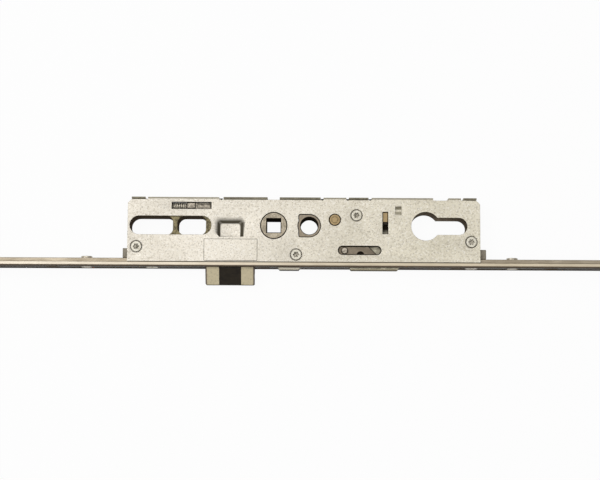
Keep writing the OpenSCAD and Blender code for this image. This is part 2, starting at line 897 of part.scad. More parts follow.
module drive_rail() {
    half = rail_w / 2;
    color(steel_strip)
        difference() {
            block([-plate_up + 3, plate_down - 3 - travel], [rail_front, rail_back], [-half, half]);
            block(
                [latch_x0 - travel - 0.4, latch_x1 + 0.4],
                [rail_front - over, rail_back + over],
                [-latch_z - 0.2, latch_z + 0.2]
            );
            block(
                [bolt_x0 - travel - 0.4, bolt_x1 + 0.4],
                [rail_front - over, rail_back + over],
                [-bolt_z - 0.3, bolt_z + 0.3]
            );
            block(
                [stem_x[0] - snib_travel - travel - slide_gap, stem_x[1] + slide_gap],
                [rail_front - over, rail_back + over],
                [snib_z[0] - 0.2, snib_z[1] + 0.2]
            );
            for (x = concat([case_screw_x[0]], rivet_x))
                rail_slot(x - case_screw_r, x + case_screw_r, case_screw_r);
            rail_slot(cyl_screw_x - 2.75, case_screw_x[1] + case_screw_r, 2.75);
            for (pair = door_hole_x)
                for (x = pair)
                    rail_slot(x - door_hole_r, x + door_hole_r, door_hole_r);
            for (x = [roller_up_x, roller_down_x])
                rod_y(x, 0, stud_r - 0.5 + seat_gap, [rail_front - over, rail_back + over]);
            for (x = drive_rivet_x)
                rod_y(x, drive_rivet_z, rail_rivet_r + seat_gap, [rail_front - over, rail_back + over]);
        }
}

module drive_block() {
    color(zinc_cast)
        difference() {
            block(drive_block_x, [rail_back, block_top], block_z);
            block(
                [nose_x - nose_r - nose_gap, nose_x + nose_r + nose_gap],
                [-arm_l - nose_r - 0.3, block_top + over],
                [block_z[0] - over, block_z[1] + over]
            );
            oblong_z(pillar_slot, pillar_a[1], pillar_r + slide_gap, [block_z[0] - over, block_z[1] + over]);
            for (x = drive_rivet_x)
                rod_y(x, drive_rivet_z, rail_rivet_r + seat_gap, [rail_back - over, block_top + over]);
        }
}

module drive_rivets() {
    color(steel_dark)
        for (x = drive_rivet_x) {
            rod_y(x, drive_rivet_z, rail_rivet_r, [rail_front, block_top + 0.1]);
            rod_y(x, drive_rivet_z, rail_rivet_r + 0.9, [block_top, block_top + 0.7]);
        }
}

module stop_plate() {
    shoulder = notch_top_x + 1.2;
    color(steel_dark)
        difference() {
            translate([0, 0, plate_layer[0]])
                linear_extrude(height = plate_layer[1] - plate_layer[0])
                    polygon([
                        [stop_x0, rail_back],
                        [stop_x1, rail_back],
                        [stop_x1, rail_back + 0.6],
                        [shoulder, rail_back + 0.6 + (stop_x1 - shoulder) * 0.97],
                        [shoulder, stop_top],
                        [stop_x0, stop_top]
                    ]);
            for (x = [0, -travel])
                translate([x, 0, plate_layer[0] - over])
                    linear_extrude(height = plate_layer[1] - plate_layer[0] + 2 * over)
                        polygon([
                            [nose_left[0] - notch_gap, notch_floor],
                            [nose_right[0] + notch_gap, notch_floor],
                            [notch_top_x, lock_nose[1]],
                            [nose_left[0] - notch_gap, lock_nose[1]]
                        ]);
            rod_z(stop_pin_at, stop_neck_r + seat_gap, [0, half_t]);
            rod_z([stop_pin_at[0] + 9.6, rail_back + 2.3], 2, [0, half_t]);
        }
}

module stop_pin() {
    color(steel_dark) {
        rod_z(stop_pin_at, stop_neck_r, [plate_layer[0], plate_layer[1] + 0.1]);
        rod_z(stop_pin_at, stop_pin_r, [plate_layer[1] + 0.02, half_t - 0.5]);
    }
}

// Stud of a locking roller: riveted to the rail, with a collar and a head in front
module cam_stud(x) {
    collar_y = front_y - 0.2;
    head_y = collar_y - 0.9 - roller_h - 0.3;
    color(steel_dark) {
        rod_y(x, 0, stud_r - 0.5, [rail_front - 0.1, rail_back]);
        rod_y(x, 0, stud_r, [collar_y - 0.1, rail_front]);
        rod_y(x, 0, stud_r + 1.6, [collar_y - 0.9, collar_y]);
        rod_y(x, 0, stud_r, [head_y, collar_y - 0.5]);
        rod_y(x, 0, stud_r + 1.8, [head_y - 1.6, head_y]);
    }
}

module cam_roller(x) {
    y1 = front_y - 0.2 - 0.9 - 0.15;
    color(spring_steel)
        difference() {
            union() {
                rod_y(x, 0, roller_r, [y1 - roller_h + 0.6, y1 - 0.6]);
                translate([x, y1 - 0.6, 0])
                    rotate([-90, 0, 0])
                        cylinder(r1 = roller_r, r2 = roller_r - 0.6, h = 0.6);
                translate([x, y1 - roller_h, 0])
                    rotate([-90, 0, 0])
                        cylinder(r1 = roller_r - 0.6, r2 = roller_r, h = 0.6);
            }
            rod_y(x, 0, stud_r + seat_gap, [y1 - roller_h - over, y1 + over]);
        }
}

// Solid outline of the latch: bevelled towards the cover and stepped behind
module latch_form() {
    tip = front_y - latch_out;
    intersection() {
        translate([0, 0, -latch_z])
            linear_extrude(height = latch_w)
                polygon([
                    [latch_x0, wide_y],
                    [latch_x0, tip + 0.6],
                    [latch_x0 + 0.6, tip],
                    [latch_x1 - 0.6, tip],
                    [latch_x1, tip + 0.6],
                    [latch_x1, latch_rear],
                    [narrow_x0, latch_rear],
                    [narrow_x0, wide_y]
                ]);
        along_x([latch_x0 - over, latch_x1 + over])
            polygon([
                [latch_rear, insert_z],
                [latch_rear, 3.6],
                [wide_y, 3.6],
                [wide_y, latch_z],
                [front_y - 0.9, latch_z],
                [tip, -latch_z + latch_tip],
                [tip, -latch_z + 0.5],
                [tip + 0.5, -latch_z],
                [latch_rear - 4.5, -latch_z],
                [latch_rear - 4.5, insert_z]
            ]);
    }
}

module insert_room(gap) {
    block(
        [insert_x0 - gap, insert_x0 + insert_w + gap],
        [front_y - latch_out - over, front_y + 1.5 + gap],
        [insert_z - gap, latch_z + over]
    );
}

module latch_bolt() {
    color(steel_strip)
        difference() {
            latch_form();
            insert_room(seat_gap);
            block(
                [latch_mid - tail_w / 2 - seat_gap, latch_mid + tail_w / 2 + seat_gap],
                [latch_rear - tail_seat, latch_rear + over],
                [-tail_z - seat_gap, tail_z + seat_gap]
            );
            for (d = [0, latch_travel])
                block(
                    [latch_x1 - snib_travel - 0.7, latch_x1 + over],
                    [snib_y[0] - d - 0.3, snib_y[1] - d + 0.3],
                    [-latch_z - over, snib_z[1] + 0.3]
                );
        }
}

module latch_insert() {
    color(black_plastic)
        intersection() {
            latch_form();
            insert_room(0);
        }
}

module latch_tail() {
    color(steel_dark)
        difference() {
            block(
                [latch_mid - tail_w / 2, latch_mid + tail_w / 2],
                [latch_rear - tail_seat + 0.1, tail_end],
                [-tail_z, tail_z]
            );
            rod_z([latch_mid, pin_y], pin_r + seat_gap, [-tail_z - over, tail_z + over]);
        }
}

module latch_pin() {
    color(steel_dark)
        rod_z([latch_mid, pin_y], pin_r, [crank_z[0] + 0.2, tail_z]);
}

module latch_crank() {
    fork = pin_r + run_gap;
    root = hub_r + 1.5;
    reach = -latch_mid + 4;
    color(steel_dark)
        difference() {
            union() {
                rod_z([0, 0], crank_r, crank_z);
                rotate([0, 0, 180 + crank_deg])
                    translate([0, 0, crank_z[0]])
                        linear_extrude(height = crank_z[1] - crank_z[0])
                            polygon([
                                [root, -3.8],
                                [16, -3.1],
                                [reach, -3.4],
                                [reach, 3.4],
                                [16, 3.1],
                                [root, 3.8]
                            ]);
            }
            rod_z([0, 0], hub_r + run_gap, [crank_z[0] - over, crank_z[1] + over]);
            rotate([0, 0, 180 + crank_deg]) {
                block([-latch_mid - 0.4, reach + over], [-fork, fork], [crank_z[0] - over, crank_z[1] + over]);
                rod_z([-latch_mid - 0.4, 0], fork, [crank_z[0] - over, crank_z[1] + over]);
            }
        }
}

module deadbolt() {
    tip = front_y - bolt_proud;
    chamfer = 0.7;
    color(steel_strip)
        difference() {
            intersection() {
                translate([0, 0, -bolt_z])
                    linear_extrude(height = bolt_w)
                        polygon([
                            [bolt_x0, bolt_rear],
                            [bolt_x0, tip + chamfer],
                            [bolt_x0 + chamfer, tip],
                            [bolt_x1 - chamfer, tip],
                            [bolt_x1, tip + chamfer],
                            [bolt_x1, bolt_rear]
                        ]);
                along_x([bolt_x0 - over, bolt_x1 + over])
                    polygon([
                        [bolt_rear, -bolt_z],
                        [bolt_rear, bolt_z],
                        [tip + chamfer, bolt_z],
                        [tip, bolt_z - chamfer],
                        [tip, -bolt_z + chamfer],
                        [tip + chamfer, -bolt_z]
                    ]);
            }
            block(
                [bolt_tail_x0 - 0.1, bolt_x1 + over],
                [bolt_tail_y[0] - 0.1, bolt_rear + over],
                [-bolt_tail_z - seat_gap, bolt_tail_z + seat_gap]
            );
            for (p = bolt_rivets)
                rod_z(p, bolt_rivet_r + seat_gap, [-bolt_z - over, bolt_z + over]);
        }
}

module deadbolt_tail() {
    z = [-bolt_tail_z, bolt_tail_z];
    color(steel_dark)
        difference() {
            union() {
                block([bolt_tail_x0, bolt_x1], bolt_tail_y, z);
                block([bolt_x1 - 1, tooth_edge], [gullet_y - gullet_half - 4.2, bolt_tail_y[1]], z);
            }
            block([bolt_x1 + 0.6, tooth_edge + over], [gullet_y - gullet_half, gullet_y + gullet_half], [-half_t, half_t]);
            for (p = bolt_rivets)
                rod_z(p, bolt_rivet_r + seat_gap, [-half_t, half_t]);
        }
}

module deadbolt_rivets() {
    color(steel_dark)
        for (p = bolt_rivets)
            rod_z(p, bolt_rivet_r, [-bolt_z, bolt_z]);
}

module cam_lever() {
    z = plate_layer;
    color(spring_steel)
        difference() {
            union() {
                rod_z(lever_at, lever_boss_r, z);
                translate([0, 0, z[0]])
                    linear_extrude(height = z[1] - z[0])
                        polygon([
                            [lever_at[0] + 1, lever_at[1] - lever_boss_r + 0.1],
                            [lock_nose[0] - lock_w / 2, -2.4],
                            [lock_nose[0] - lock_w / 2, lock_nose[1]],
                            [lock_nose[0] + lock_w / 2, lock_nose[1]],
                            [lock_nose[0] + lock_w / 2, -2.2],
                            lever_knee,
                            [lever_heel[0][1], lever_heel[1][0]],
                            [lever_heel[0][1], lever_heel[1][1]],
                            [nib[0][1] + 1.2, lever_heel[1][1]],
                            [nib[0][1] + 1.2, nib[1][1] + 1],
                            [nib[0][0] - 1.2, nib[1][1] + 1],
                            [nib[0][0] - 4, 3.8],
                            [pillar_b[0] + 3, 3.7],
                            [lever_at[0] + lever_boss_r + 3, 3.7],
                            [lever_at[0] + 3, lever_at[1] + lever_boss_r - 0.8]
                        ]);
                block(lever_heel[0], lever_heel[1], [2, z[1]]);
                rod_z(
                    [lever_stud_x, lever_at[1] - lever_spring_r + wire_r + lever_stud_r + run_gap],
                    lever_stud_r,
                    [lever_spring_z[1] - 1.2, z[1]]
                );
            }
            rod_z(lever_at, lever_pin_r + run_gap, [0, half_t]);
            block(
                [nib[0][0] - seat_gap, nib[0][1] + seat_gap],
                [nib[1][0] - seat_gap, nib[1][1] + seat_gap],
                [z[0] - over, z[1] + over]
            );
        }
}

module lever_nib() {
    color(brass)
        block(nib[0], nib[1], [plate_layer[0], inner_z - 0.1]);
}

module latch_snib() {
    color(steel_strip) {
        difference() {
            block(snib_x, [front_y - 1.35, front_y - 0.05], [-4, 4]);
            for (s = [0, 1])
                translate([snib_x[s], front_y - 1.35, 0])
                    rotate([0, 0, 45])
                        block([-0.7, 0.7], [-0.7, 0.7], [-5, 5]);
        }
        block(stem_x, [front_y - 0.5, snib_y[1]], [snib_z[0] + 0.6, snib_z[1]]);
        block([latch_x1 + 0.6, stem_x[1]], snib_y, snib_z);
    }
}

faceplate();
case_tray();
case_cover();
cover_screws();
screw_pillars();
slot_block();
end_block();
faceplate_screws();
guide_rivets();
handle_bush();
lever_pin();
latch_guide();
spring_bridge();
latch_springs();
return_spring();
lever_spring();
follower();
return_bar();
drive_rail();
drive_block();
drive_rivets();
stop_plate();
stop_pin();
cam_stud(roller_up_x);  // cam_stud_upper
cam_stud(roller_down_x);  // cam_stud_lower
cam_roller(roller_up_x);  // cam_roller_upper
cam_roller(roller_down_x);  // cam_roller_lower
latch_bolt();
latch_insert();
latch_tail();
latch_pin();
latch_crank();
deadbolt();
deadbolt_tail();
deadbolt_rivets();
cam_lever();
lever_nib();
latch_snib();
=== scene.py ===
import json
import math

import bmesh
import bpy
from mathutils import Matrix, Vector


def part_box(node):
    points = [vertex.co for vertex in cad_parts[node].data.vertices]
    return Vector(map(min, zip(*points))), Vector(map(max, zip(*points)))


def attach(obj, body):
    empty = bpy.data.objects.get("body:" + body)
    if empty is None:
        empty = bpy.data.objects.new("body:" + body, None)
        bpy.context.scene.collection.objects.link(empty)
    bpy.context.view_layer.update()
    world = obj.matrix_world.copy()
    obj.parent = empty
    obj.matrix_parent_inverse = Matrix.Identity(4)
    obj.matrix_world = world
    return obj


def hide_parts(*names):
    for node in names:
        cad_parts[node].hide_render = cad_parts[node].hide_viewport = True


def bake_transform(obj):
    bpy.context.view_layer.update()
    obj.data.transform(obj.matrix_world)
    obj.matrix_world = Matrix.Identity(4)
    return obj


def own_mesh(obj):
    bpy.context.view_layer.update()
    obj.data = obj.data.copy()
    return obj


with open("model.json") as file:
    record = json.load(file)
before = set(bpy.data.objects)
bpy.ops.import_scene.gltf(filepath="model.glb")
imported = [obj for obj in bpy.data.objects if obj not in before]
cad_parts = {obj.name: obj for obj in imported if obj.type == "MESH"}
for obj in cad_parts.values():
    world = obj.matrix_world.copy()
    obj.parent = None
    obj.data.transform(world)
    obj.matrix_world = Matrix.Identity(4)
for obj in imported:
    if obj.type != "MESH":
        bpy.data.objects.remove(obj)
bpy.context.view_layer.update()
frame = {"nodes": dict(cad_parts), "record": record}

scene = bpy.context.scene
cad = frame["nodes"]
BODY_OF = {node: body for body, held in frame["record"]["behaviour"]["bodies"].items() for node in held}


def mm(*values):
    """Lengths in millimetres as metres: one number, or a vector of three."""
    return values[0] / 1000 if len(values) == 1 else Vector(values) / 1000


# Finishes: shaders on object coordinates, with patches, mottling, specks, painted shade on edges, on
# standing sides and in bands, a painted change of light along the lock, and a bumpy grain

FINISHES = {}
NOISE_ROUGHNESS = 0.55
SPECK_FADE = 0.07
EDGE_SAMPLES = 6


def add_node(tree, kind, inputs=None, **settings):
    made = tree.nodes.new(kind)
    for name, value in settings.items():
        setattr(made, name, value)
    for name, value in (inputs or {}).items():
        if isinstance(value, bpy.types.NodeSocket):
            tree.links.new(value, made.inputs[name])
        else:
            made.inputs[name].default_value = value
    return made


def calculated(tree, operation, *values):
    return add_node(tree, "ShaderNodeMath", dict(enumerate(values)), operation=operation).outputs[0]


def noise(tree, place, size, detail):
    """Noise whose lumps are about size millimetres across."""
    made = add_node(
        tree,
        "ShaderNodeTexNoise",
        {"Vector": place, "Scale": 1000 / size, "Detail": detail, "Roughness": NOISE_ROUGHNESS},
    )
    return made.outputs["Fac"]


def spread(tree, value, low, high, to_low=0.0, to_high=1.0):
    """The value's stretch from low to high, spread from to_low to to_high."""
    made = add_node(
        tree,
        "ShaderNodeMapRange",
        {"Value": value, "From Min": low, "From Max": high, "To Min": to_low, "To Max": to_high},
    )
    return made.outputs["Result"]


def mixed(tree, share, a, b):
    """Colour a, turning to colour b as share goes from 0 to 1. Colours are linear."""
    made = add_node(tree, "ShaderNodeMix", data_type="RGBA")
    for socket, value in ((made.inputs[0], share), (made.inputs[6], a), (made.inputs[7], b)):
        if isinstance(value, bpy.types.NodeSocket):
            tree.links.new(value, socket)
        else:
            socket.default_value = (*value, 1.0)
    return made.outputs[2]


def along(tree, place, axis):
    """One coordinate of a place or a direction."""
    return add_node(tree, "ShaderNodeSeparateXYZ", {0: place}).outputs[axis]


def painted_edge_share(tree, radius, strength):
    """How near an outer or inner edge is, from 0 to strength: the share of a painted shade or highlight
    there.
    """
    rounded = add_node(tree, "ShaderNodeBevel", {"Radius": mm(radius)}, samples=EDGE_SAMPLES)
    flat = add_node(tree, "ShaderNodeNewGeometry")
    normals = {0: rounded.outputs["Normal"], 1: flat.outputs["Normal"]}
    turned = add_node(tree, "ShaderNodeVectorMath", normals, operation="DOT_PRODUCT")
    return spread(tree, turned.outputs["Value"], 0.995, 0.86, 0.0, strength)


def shade_band_share(tree, place, axis, centre, start, end):
    """How far a place lies from a band's middle, from 0 at start to 1 at end, which sets a painted shade."""
    offset = calculated(tree, "SUBTRACT", along(tree, place, axis), mm(centre))
    return spread(tree, calculated(tree, "ABSOLUTE", offset), mm(start), mm(end))


def finish(
    name,
    shades,
    metallic,
    gloss,
    far_shades_painted_light=None,
    far=None,
    patch=(6.0, 0.5),
    contrast=0.28,
    specks=(),
    stretch=None,
    grain=(0.02, 0.3),
    specular=0.4,
    edge=None,
    steep_shade=None,
    slopes=(0.96, 0.7),
    dark_rim=False,
    shade_bands=(),
):
    """Makes a finish. shades are its light and dark colour, and far_shades_painted_light those that it has
    further down the lock, from far[0] to far[1] millimetres along it, a painted change of light along the
    lock. gloss holds the roughness of either shade, patch the sizes of patches and mottling, grain the
    height and size of the bumps, and stretch their scale on each axis. specks hold a colour, size, threshold
    and strength each, and edge a colour, radius and strength of a painted shade along edges and in corners,
    which on the rollers is a painted highlight. steep_shade is the painted shade on sides that stand up from
    the case's plane, and slopes the normal's upward share where it starts and where it is full. shade_bands
    hold an axis, a middle, two distances from it between which a painted shade fades in, and its colour.
    Painted shade on standing sides and in bands is matt. dark_rim takes off a metal's reflection at a low
    angle."""
    made = bpy.data.materials.new(name)
    made.use_nodes = True
    tree = made.node_tree
    shader = tree.nodes["Principled BSDF"]
    coordinates = add_node(tree, "ShaderNodeTexCoord")
    place = coordinates.outputs["Object"]
    grain_place = place
    if stretch:
        stretched = add_node(tree, "ShaderNodeMapping", {"Vector": place, "Scale": stretch})
        grain_place = stretched.outputs["Vector"]
    patches = noise(tree, place, patch[0], 3.0)
    mottling = noise(tree, grain_place, patch[1], 2.0)
    share = spread(tree, calculated(tree, "ADD", patches, mottling), 1 - contrast, 1 + contrast)
    colour = mixed(tree, share, *shades)
    # A painted change of light along the lock
    if far_shades_painted_light:
        distance = spread(tree, along(tree, place, "X"), mm(far[0]), mm(far[1]))
        colour = mixed(tree, distance, colour, mixed(tree, share, *far_shades_painted_light))
    for speck, size, threshold, strength in specks:
        spots = spread(tree, noise(tree, place, size, 1.5), threshold, threshold + SPECK_FADE, 0.0, strength)
        colour = mixed(tree, spots, colour, speck)
    shader.inputs["Metallic"].default_value = metallic
    shader.inputs["Specular IOR Level"].default_value = specular
    if dark_rim:
        shader.inputs["Specular Tint"].default_value = (0.0, 0.0, 0.0, 1.0)
    # Painted shade on sides that stand up and in bands, which also takes the metal and the gloss off
    painted_shades = []
    if steep_shade:
        level = calculated(tree, "ABSOLUTE", along(tree, coordinates.outputs["Normal"], "Z"))
        painted_shades.append((spread(tree, level, *slopes), steep_shade))
    # Painted shade in bands
    for *where, shade_tone in shade_bands:
        painted_shades.append((shade_band_share(tree, place, *where), shade_tone))
    for covered, shade_tone in painted_shades:
        colour = mixed(tree, covered, colour, shade_tone)
    if painted_shades:
        most = painted_shades[0][0]
        for covered, shade_tone in painted_shades[1:]:
            most = calculated(tree, "MAXIMUM", most, covered)
        tree.links.new(spread(tree, most, 0.0, 1.0, metallic, 0.0), shader.inputs["Metallic"])
        tree.links.new(spread(tree, most, 0.0, 1.0, specular, 0.0), shader.inputs["Specular IOR Level"])
    # A painted shade along edges and in corners; with a pale colour it is a painted highlight
    if edge:
        colour = mixed(tree, painted_edge_share(tree, edge[1], edge[2]), colour, edge[0])
    tree.links.new(colour, shader.inputs["Base Color"])
    tree.links.new(spread(tree, share, 0.0, 1.0, *gloss), shader.inputs["Roughness"])
    height = noise(tree, grain_place, grain[1], 4.0)
    raised = add_node(tree, "ShaderNodeBump", {"Height": height, "Strength": 1.0, "Distance": mm(grain[0])})
    tree.links.new(raised.outputs["Normal"], shader.inputs["Normal"])
    FINISHES[name] = made


# Painted shade along edges and in corners
EDGE_SHADE = (0.05, 0.038, 0.026)
PALE_ZINC = ((0.83, 0.775, 0.675), (0.76, 0.705, 0.60))
ZINC_SPECKS = (
    ((0.95, 0.92, 0.86), 1.3, 0.56, 0.4),
    ((0.36, 0.31, 0.23), 1.05, 0.57, 0.36),
    ((0.26, 0.21, 0.14), 0.75, 0.61, 0.5),
)
# The far shades paint light falling off along the lock, darker towards the far end
SHEET_ZINC = {
    "far_shades_painted_light": ((0.79, 0.735, 0.60), (0.70, 0.65, 0.515)), "far": (-30, 95), "patch": (30, 1.6),
    "specks": ZINC_SPECKS, "grain": (0.015, 0.8),
}

# The case
finish("zinc", PALE_ZINC, 0.3, (0.42, 0.58), **SHEET_ZINC)
# Zinc with painted shade on the slopes of the pressed pocket and panel
finish(
    "zinc_pressed_shade", PALE_ZINC, 0.3, (0.42, 0.58), **SHEET_ZINC,
    steep_shade=(0.095, 0.085, 0.062), slopes=(0.985, 0.76),
)
# Painted shade on the cover's rear bend and on one side of the dimple
finish(
    "zinc_bend_shade", ((0.55, 0.50, 0.38), (0.40, 0.36, 0.26)), 0.3, (0.42, 0.58),
    patch=(8, 0.9), grain=(0.015, 0.8),
)
# Raw cut edges of the sheet, painted darker still as shade on the walls of the holes
finish(
    "sheared_edge_and_shade", ((0.12, 0.093, 0.064), (0.065, 0.051, 0.035)), 0.0, (0.7, 0.85),
    patch=(4, 0.8), stretch=(0.3, 0.3, 1), specular=0.0,
)
# The tray fingers' raw cut tops, and painted shade on one side of the panel and of the dimple
finish(
    "finger_edge_and_shade", ((0.30, 0.27, 0.19), (0.15, 0.13, 0.09)), 0.0, (0.5, 0.65),
    patch=(5, 1.0), specular=0.2,
)
# Painted shade, near black, on sides of rims, window walls and dark fillers in holes and cuts
finish(
    "gap", ((0.032, 0.025, 0.018), (0.018, 0.014, 0.010)), 0.0, (0.7, 0.85),
    patch=(3, 0.8), specular=0.0,
)
# Painted shade on the inner faces of the case's sheets
finish(
    "inner_zinc_shade", ((0.27, 0.215, 0.158), (0.17, 0.135, 0.10)), 0.0, (0.6, 0.8),
    patch=(8, 1.2), specular=0.05,
)
# Its colour for standing sides is painted shade
finish(
    "cast_zinc", ((0.34, 0.285, 0.15), (0.13, 0.11, 0.06)), 0.1, (0.5, 0.7),
    patch=(2.5, 0.9), contrast=0.16, specks=(((0.08, 0.065, 0.04), 1.2, 0.58, 0.6),),
    grain=(0.1, 0.9), specular=0.2, steep_shade=(0.16, 0.125, 0.09),
)
# Painted lighter towards the far end as a change of light, with painted shade along edges
finish(
    "lug_zinc", ((0.25, 0.22, 0.168), (0.20, 0.174, 0.13)), 0.2, (0.48, 0.62),
    far_shades_painted_light=((0.34, 0.30, 0.23), (0.27, 0.235, 0.178)), far=(-60, 100),
    patch=(4, 0.9), edge=(EDGE_SHADE, 0.5, 0.5),
)

# The strip and what stands on it
# Painted darker towards the far end as a change of light, with a painted shade band on the rounded front
# edge
finish(
    "strip_steel", ((0.78, 0.70, 0.57), (0.71, 0.625, 0.50)), 0.35, (0.38, 0.52),
    far_shades_painted_light=((0.66, 0.57, 0.42), (0.585, 0.50, 0.36)), far=(-130, 75), patch=(20, 0.5),
    stretch=(0.06, 1, 1), shade_bands=[("Y", -20, 3.95, 4.3, (0.13, 0.10, 0.072))],
)
finish(
    "strip_front", ((0.46, 0.395, 0.305), (0.37, 0.315, 0.24)), 0.86, (0.2, 0.28),
    patch=(12, 0.6), stretch=(0.05, 1, 1), contrast=0.35, specular=0.0, dark_rim=True,
)
# Painted darker towards the far end as a change of light
finish(
    "rail_steel", ((0.44, 0.375, 0.28), (0.36, 0.30, 0.215)), 0.5, (0.38, 0.52),
    far_shades_painted_light=((0.37, 0.315, 0.235), (0.30, 0.25, 0.18)), far=(-100, 140),
    patch=(12, 0.5), stretch=(0.08, 1, 1),
)
# A painted shade band along the latch's sides
finish(
    "latch_steel", ((0.70, 0.61, 0.41), (0.62, 0.54, 0.355)), 0.05, (0.42, 0.56),
    patch=(7, 1.2), specks=(((0.36, 0.31, 0.21), 1.2, 0.6, 0.4),),
    shade_bands=[("X", -26.4, 13.7, 14.4, (0.12, 0.094, 0.078))],
)
finish(
    "nose", ((0.50, 0.44, 0.31), (0.42, 0.37, 0.26)), 0.92, (0.22, 0.32),
    patch=(5, 0.9), specular=0.0, dark_rim=True,
)
finish(
    "snib_steel", ((0.95, 0.89, 0.74), (0.8, 0.74, 0.6)), 0.0, (0.4, 0.5), patch=(5, 1.2),
)
# A painted shade band on the bolt's part inside the case
finish(
    "bolt_steel", ((0.74, 0.68, 0.51), (0.36, 0.325, 0.23)), 0.05, (0.34, 0.5),
    patch=(4, 1.6), contrast=0.2, stretch=(0.4, 1, 1), shade_bands=[("Y", -25, 20.3, 23.4, (0.02, 0.015, 0.01))],
)
finish(
    "black_nylon", ((0.028, 0.021, 0.012), (0.016, 0.012, 0.008)), 0.0, (0.5, 0.7),
    patch=(4, 1.2), stretch=(0.25, 1, 1), grain=(0.03, 0.7), specular=0.25,
)
# A painted highlight along the edges
finish(
    "roller_steel", ((0.62, 0.58, 0.5), (0.5, 0.46, 0.4)), 0.7, (0.28, 0.42),
    patch=(4, 0.6), edge=((0.8, 0.77, 0.7), 0.5, 0.5),
)

# The mechanism
# The colours for standing sides in these are painted shade
finish(
    "follower_steel", ((0.50, 0.435, 0.33), (0.33, 0.285, 0.21)), 0.4, (0.42, 0.56),
    patch=(3, 0.9), contrast=0.2, specular=0.2, steep_shade=(0.03, 0.022, 0.014),
)
finish(
    "bush_steel", ((0.34, 0.285, 0.215), (0.275, 0.23, 0.17)), 0.4, (0.42, 0.56),
    patch=(4, 0.9), specular=0.2, steep_shade=(0.05, 0.038, 0.026),
)
finish(
    "plate_steel", ((0.25, 0.205, 0.15), (0.19, 0.155, 0.11)), 0.35, (0.42, 0.56),
    patch=(4, 0.9), specular=0.2, steep_shade=(0.018, 0.014, 0.010),
)
finish(
    "bar_steel", ((0.52, 0.46, 0.37), (0.22, 0.19, 0.15)), 0.3, (0.36, 0.5),
    patch=(2.5, 0.9), contrast=0.14, specular=0.2, steep_shade=(0.018, 0.014, 0.010),
)
# Painted shade along edges
finish(
    "dark_steel", ((0.30, 0.25, 0.19), (0.19, 0.16, 0.12)), 0.45, (0.42, 0.56),
    patch=(5, 0.9), specks=(((0.1, 0.08, 0.06), 1.0, 0.62, 0.5),), edge=(EDGE_SHADE, 0.4, 0.6),
)
finish(
    "shaded_steel", ((0.045, 0.035, 0.025), (0.025, 0.02, 0.014)), 0.0, (0.5, 0.7),
    patch=(5, 0.9), specular=0.1,
)
finish(
    "spring_wire", ((0.86, 0.79, 0.65), (0.68, 0.62, 0.50)), 0.4, (0.32, 0.45), patch=(3, 0.5),
)
# The colour for standing sides is painted shade
finish(
    "pin_brass", ((0.41, 0.295, 0.145), (0.33, 0.235, 0.112)), 0.4, (0.38, 0.52),
    patch=(3, 0.8), steep_shade=(0.05, 0.034, 0.018),
)

# Screws and rivets
# Painted shade in the screws' recesses and on their walls
finish(
    "recess_shade", ((0.55, 0.50, 0.40), (0.20, 0.18, 0.13)), 0.1, (0.45, 0.6),
    patch=(1.8, 0.9), contrast=0.1, steep_shade=(0.05, 0.042, 0.03),
)
# Its colour for standing sides is painted shade
finish(
    "screw_zinc", ((0.76, 0.72, 0.60), (0.66, 0.62, 0.51)), 0.3, (0.38, 0.52),
    patch=(3, 0.8), specks=ZINC_SPECKS, steep_shade=(0.10, 0.092, 0.068),
)
# Painted shade along edges
finish(
    "rivet_zinc", ((0.66, 0.60, 0.49), (0.54, 0.49, 0.39)), 0.4, (0.36, 0.5),
    patch=(3, 0.8), edge=(EDGE_SHADE, 0.25, 0.6),
)

# Nodes that keep their own form
WEARS = {
    "dark_steel": ["drive_rivets", "latch_tail", "latch_pin", "latch_crank", "deadbolt_rivets"],
    "shaded_steel": ["screw_pillars", "deadbolt_tail", "cam_lever"],
    "cast_zinc": ["drive_block", "spring_bridge"],
    "black_nylon": ["latch_guide"],
}
for name, held in WEARS.items():
    for node in held:
        cad[node].data.materials.clear()
        cad[node].data.materials.append(FINISHES[name])

# Pieces with rounded edges. Places and widths in their tests are in millimetres

SAME_PLACE = mm(0.002)
FLAT_ANGLE = math.radians(0.5)
SHARP_ANGLE = math.radians(28)
SMOOTH_ANGLE = math.radians(20)
NEAR = 0.02


def show(name, bm, finishes, node):
    """The finished mesh as a piece that stands for a CAD node."""
    mesh = bpy.data.meshes.new(name)
    bm.to_mesh(mesh)
    bm.free()
    for key in finishes:
        mesh.materials.append(FINISHES[key])
    mesh.shade_smooth()
    mesh.set_sharp_from_angle(angle=SMOOTH_ANGLE)
    piece = bpy.data.objects.new(name, mesh)
    scene.collection.objects.link(piece)
    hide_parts(node)
    return piece


def middle(edge):
    """An edge's middle in millimetres."""
    return (edge.verts[0].co + edge.verts[1].co) * 500


def copied(node):
    """The node's solid with its triangles merged into flat faces."""
    bm = bmesh.new()
    bm.from_mesh(cad[node].data)
    bmesh.ops.remove_doubles(bm, verts=bm.verts, dist=SAME_PLACE)
    bmesh.ops.dissolve_limit(bm, angle_limit=FLAT_ANGLE, verts=bm.verts, edges=bm.edges)
    return bm


def round_edges(bm, width, segments, picks, hollow=False):
    """Rounds the sharp edges that picks names, outer ones or, with hollow, inner ones."""
    edges = []
    for edge in bm.edges:
        if len(edge.link_faces) != 2:
            continue
        turn = edge.calc_face_angle_signed(0.0)
        if (turn < -SHARP_ANGLE if hollow else turn > SHARP_ANGLE) and picks(middle(edge)):
            edges.append(edge)
    bmesh.ops.bevel(
        bm, geom=edges, offset=mm(width), offset_type="OFFSET", segments=segments, profile=0.5,
        affect="EDGES", clamp_overlap=False, material=-1,
    )


def anywhere(point):
    return True


